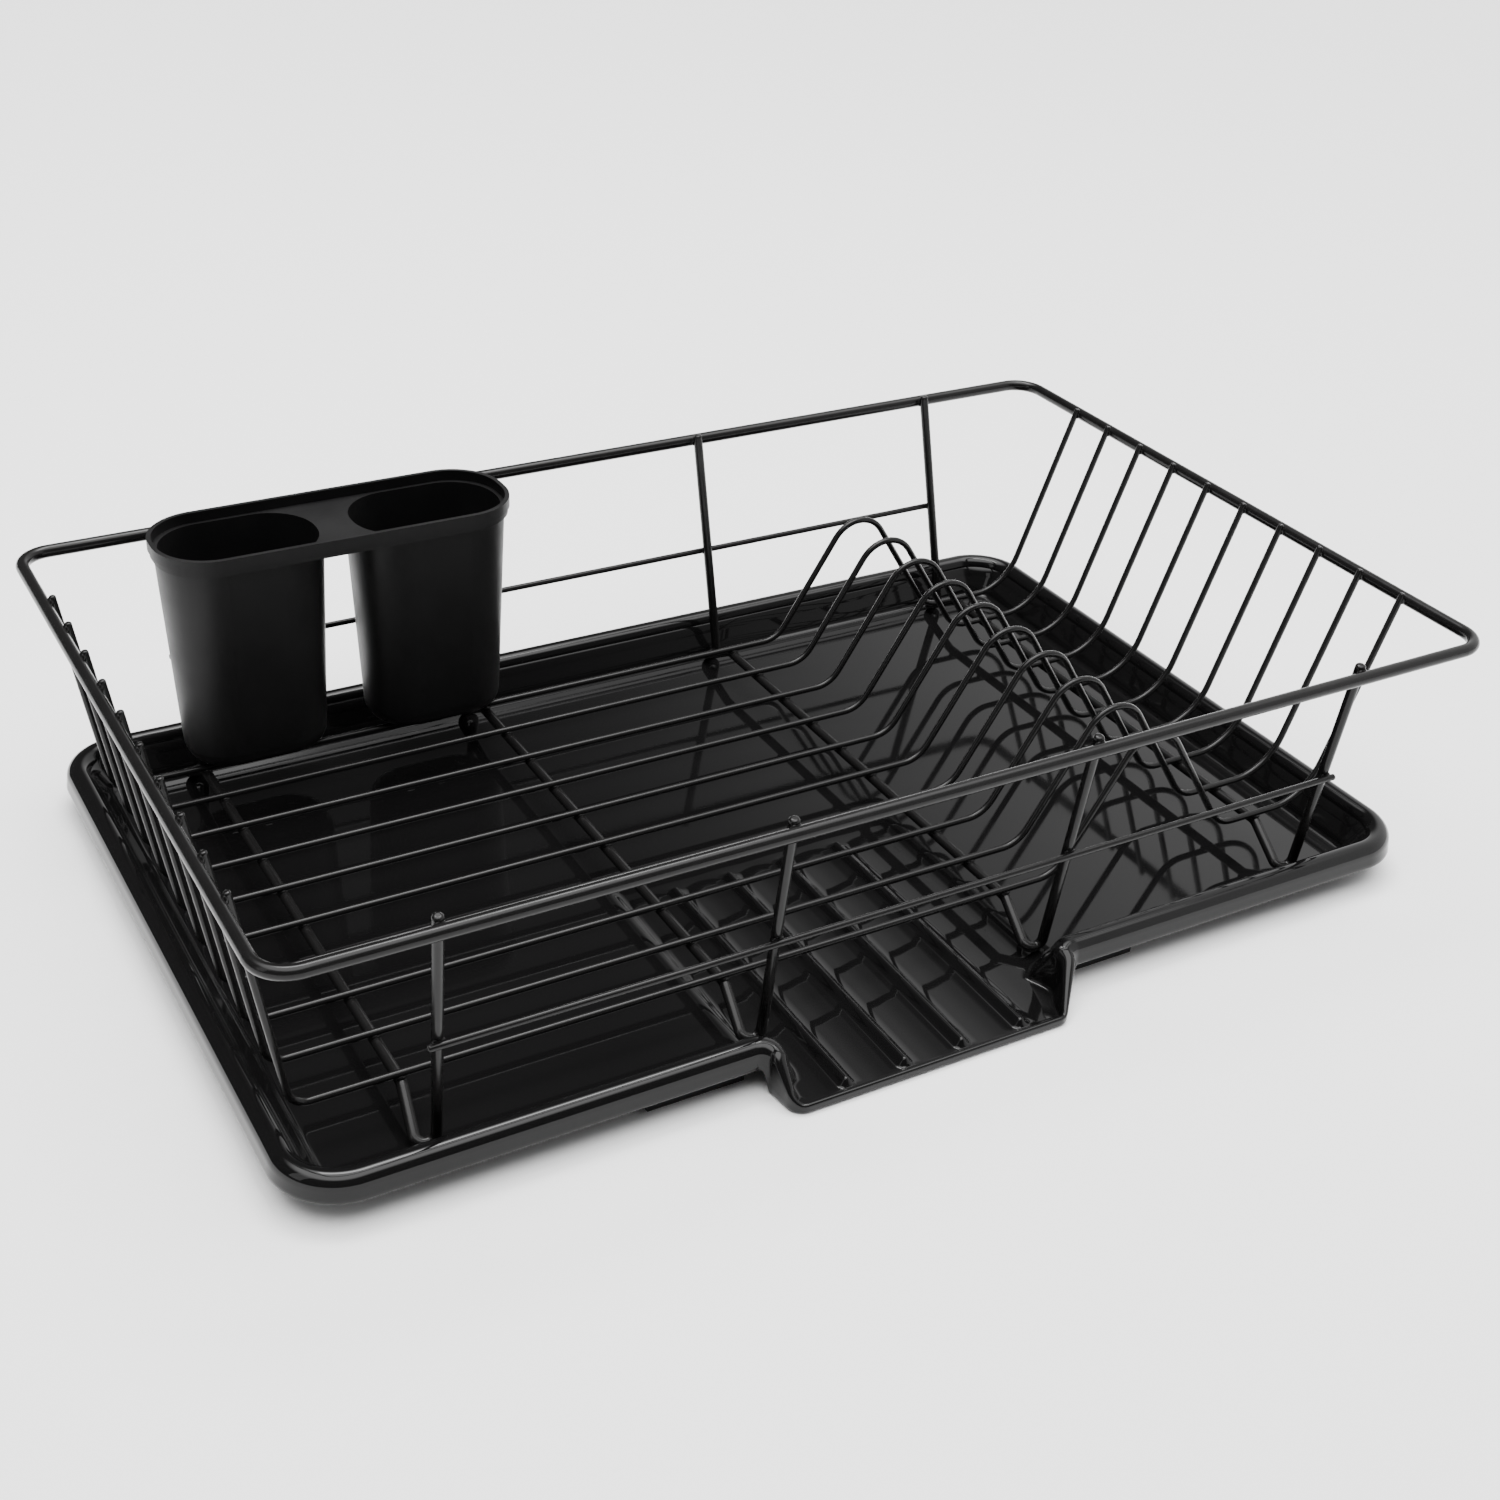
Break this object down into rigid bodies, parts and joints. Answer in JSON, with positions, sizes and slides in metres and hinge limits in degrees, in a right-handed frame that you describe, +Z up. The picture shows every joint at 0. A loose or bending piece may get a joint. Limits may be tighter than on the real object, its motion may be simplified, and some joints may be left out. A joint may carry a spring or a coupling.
{
  "type": "dish drying rack",
  "caption": "Coated wire dish drying rack with plate humps, standing in a drip tray with a pouring spout, with a lift-out twin cutlery holder.",
  "frame": {"origin": "on the tray's underside, straight below the middle of the top rim wire", "axes": "+X along the rack towards the plate humps, +Y to the back, away from the spout, +Z up"},
  "size_m": [0.485, 0.3185, 0.1165],
  "materials": {
    "tray": "high gloss black moulded plastic",
    "wire": "gloss black coating over steel wire",
    "holder": "satin black moulded plastic"
  },
  "bodies": {
    "tray": {"drain_tray": "tray"},
    "rack": {"top_rim_wire": "wire", "lengthwise_wire_01": "wire", "lengthwise_wire_02": "wire", "lengthwise_wire_03": "wire", "lengthwise_wire_04": "wire", "lengthwise_wire_05": "wire", "lengthwise_wire_06": "wire", "lengthwise_wire_07": "wire", "lengthwise_wire_08": "wire", "lengthwise_wire_09": "wire", "lengthwise_wire_10": "wire", "leg_wire_1": "wire", "leg_wire_2": "wire", "leg_wire_3": "wire", "leg_wire_4": "wire", "front_mid_wire": "wire", "back_mid_wire": "wire"},
    "cutlery_holder": {"cutlery_holder": "holder"}
  },
  "joints": [
    {"name": "rack_lift", "type": "slide", "parent": "tray", "child": "rack", "axis": [0, 0, 1], "range_m": [0, 0.15]},
    {"name": "cutlery_holder_lift", "type": "slide", "parent": "rack", "child": "cutlery_holder", "axis": [0, 0, 1], "range_m": [0, 0.15]}
  ]
}
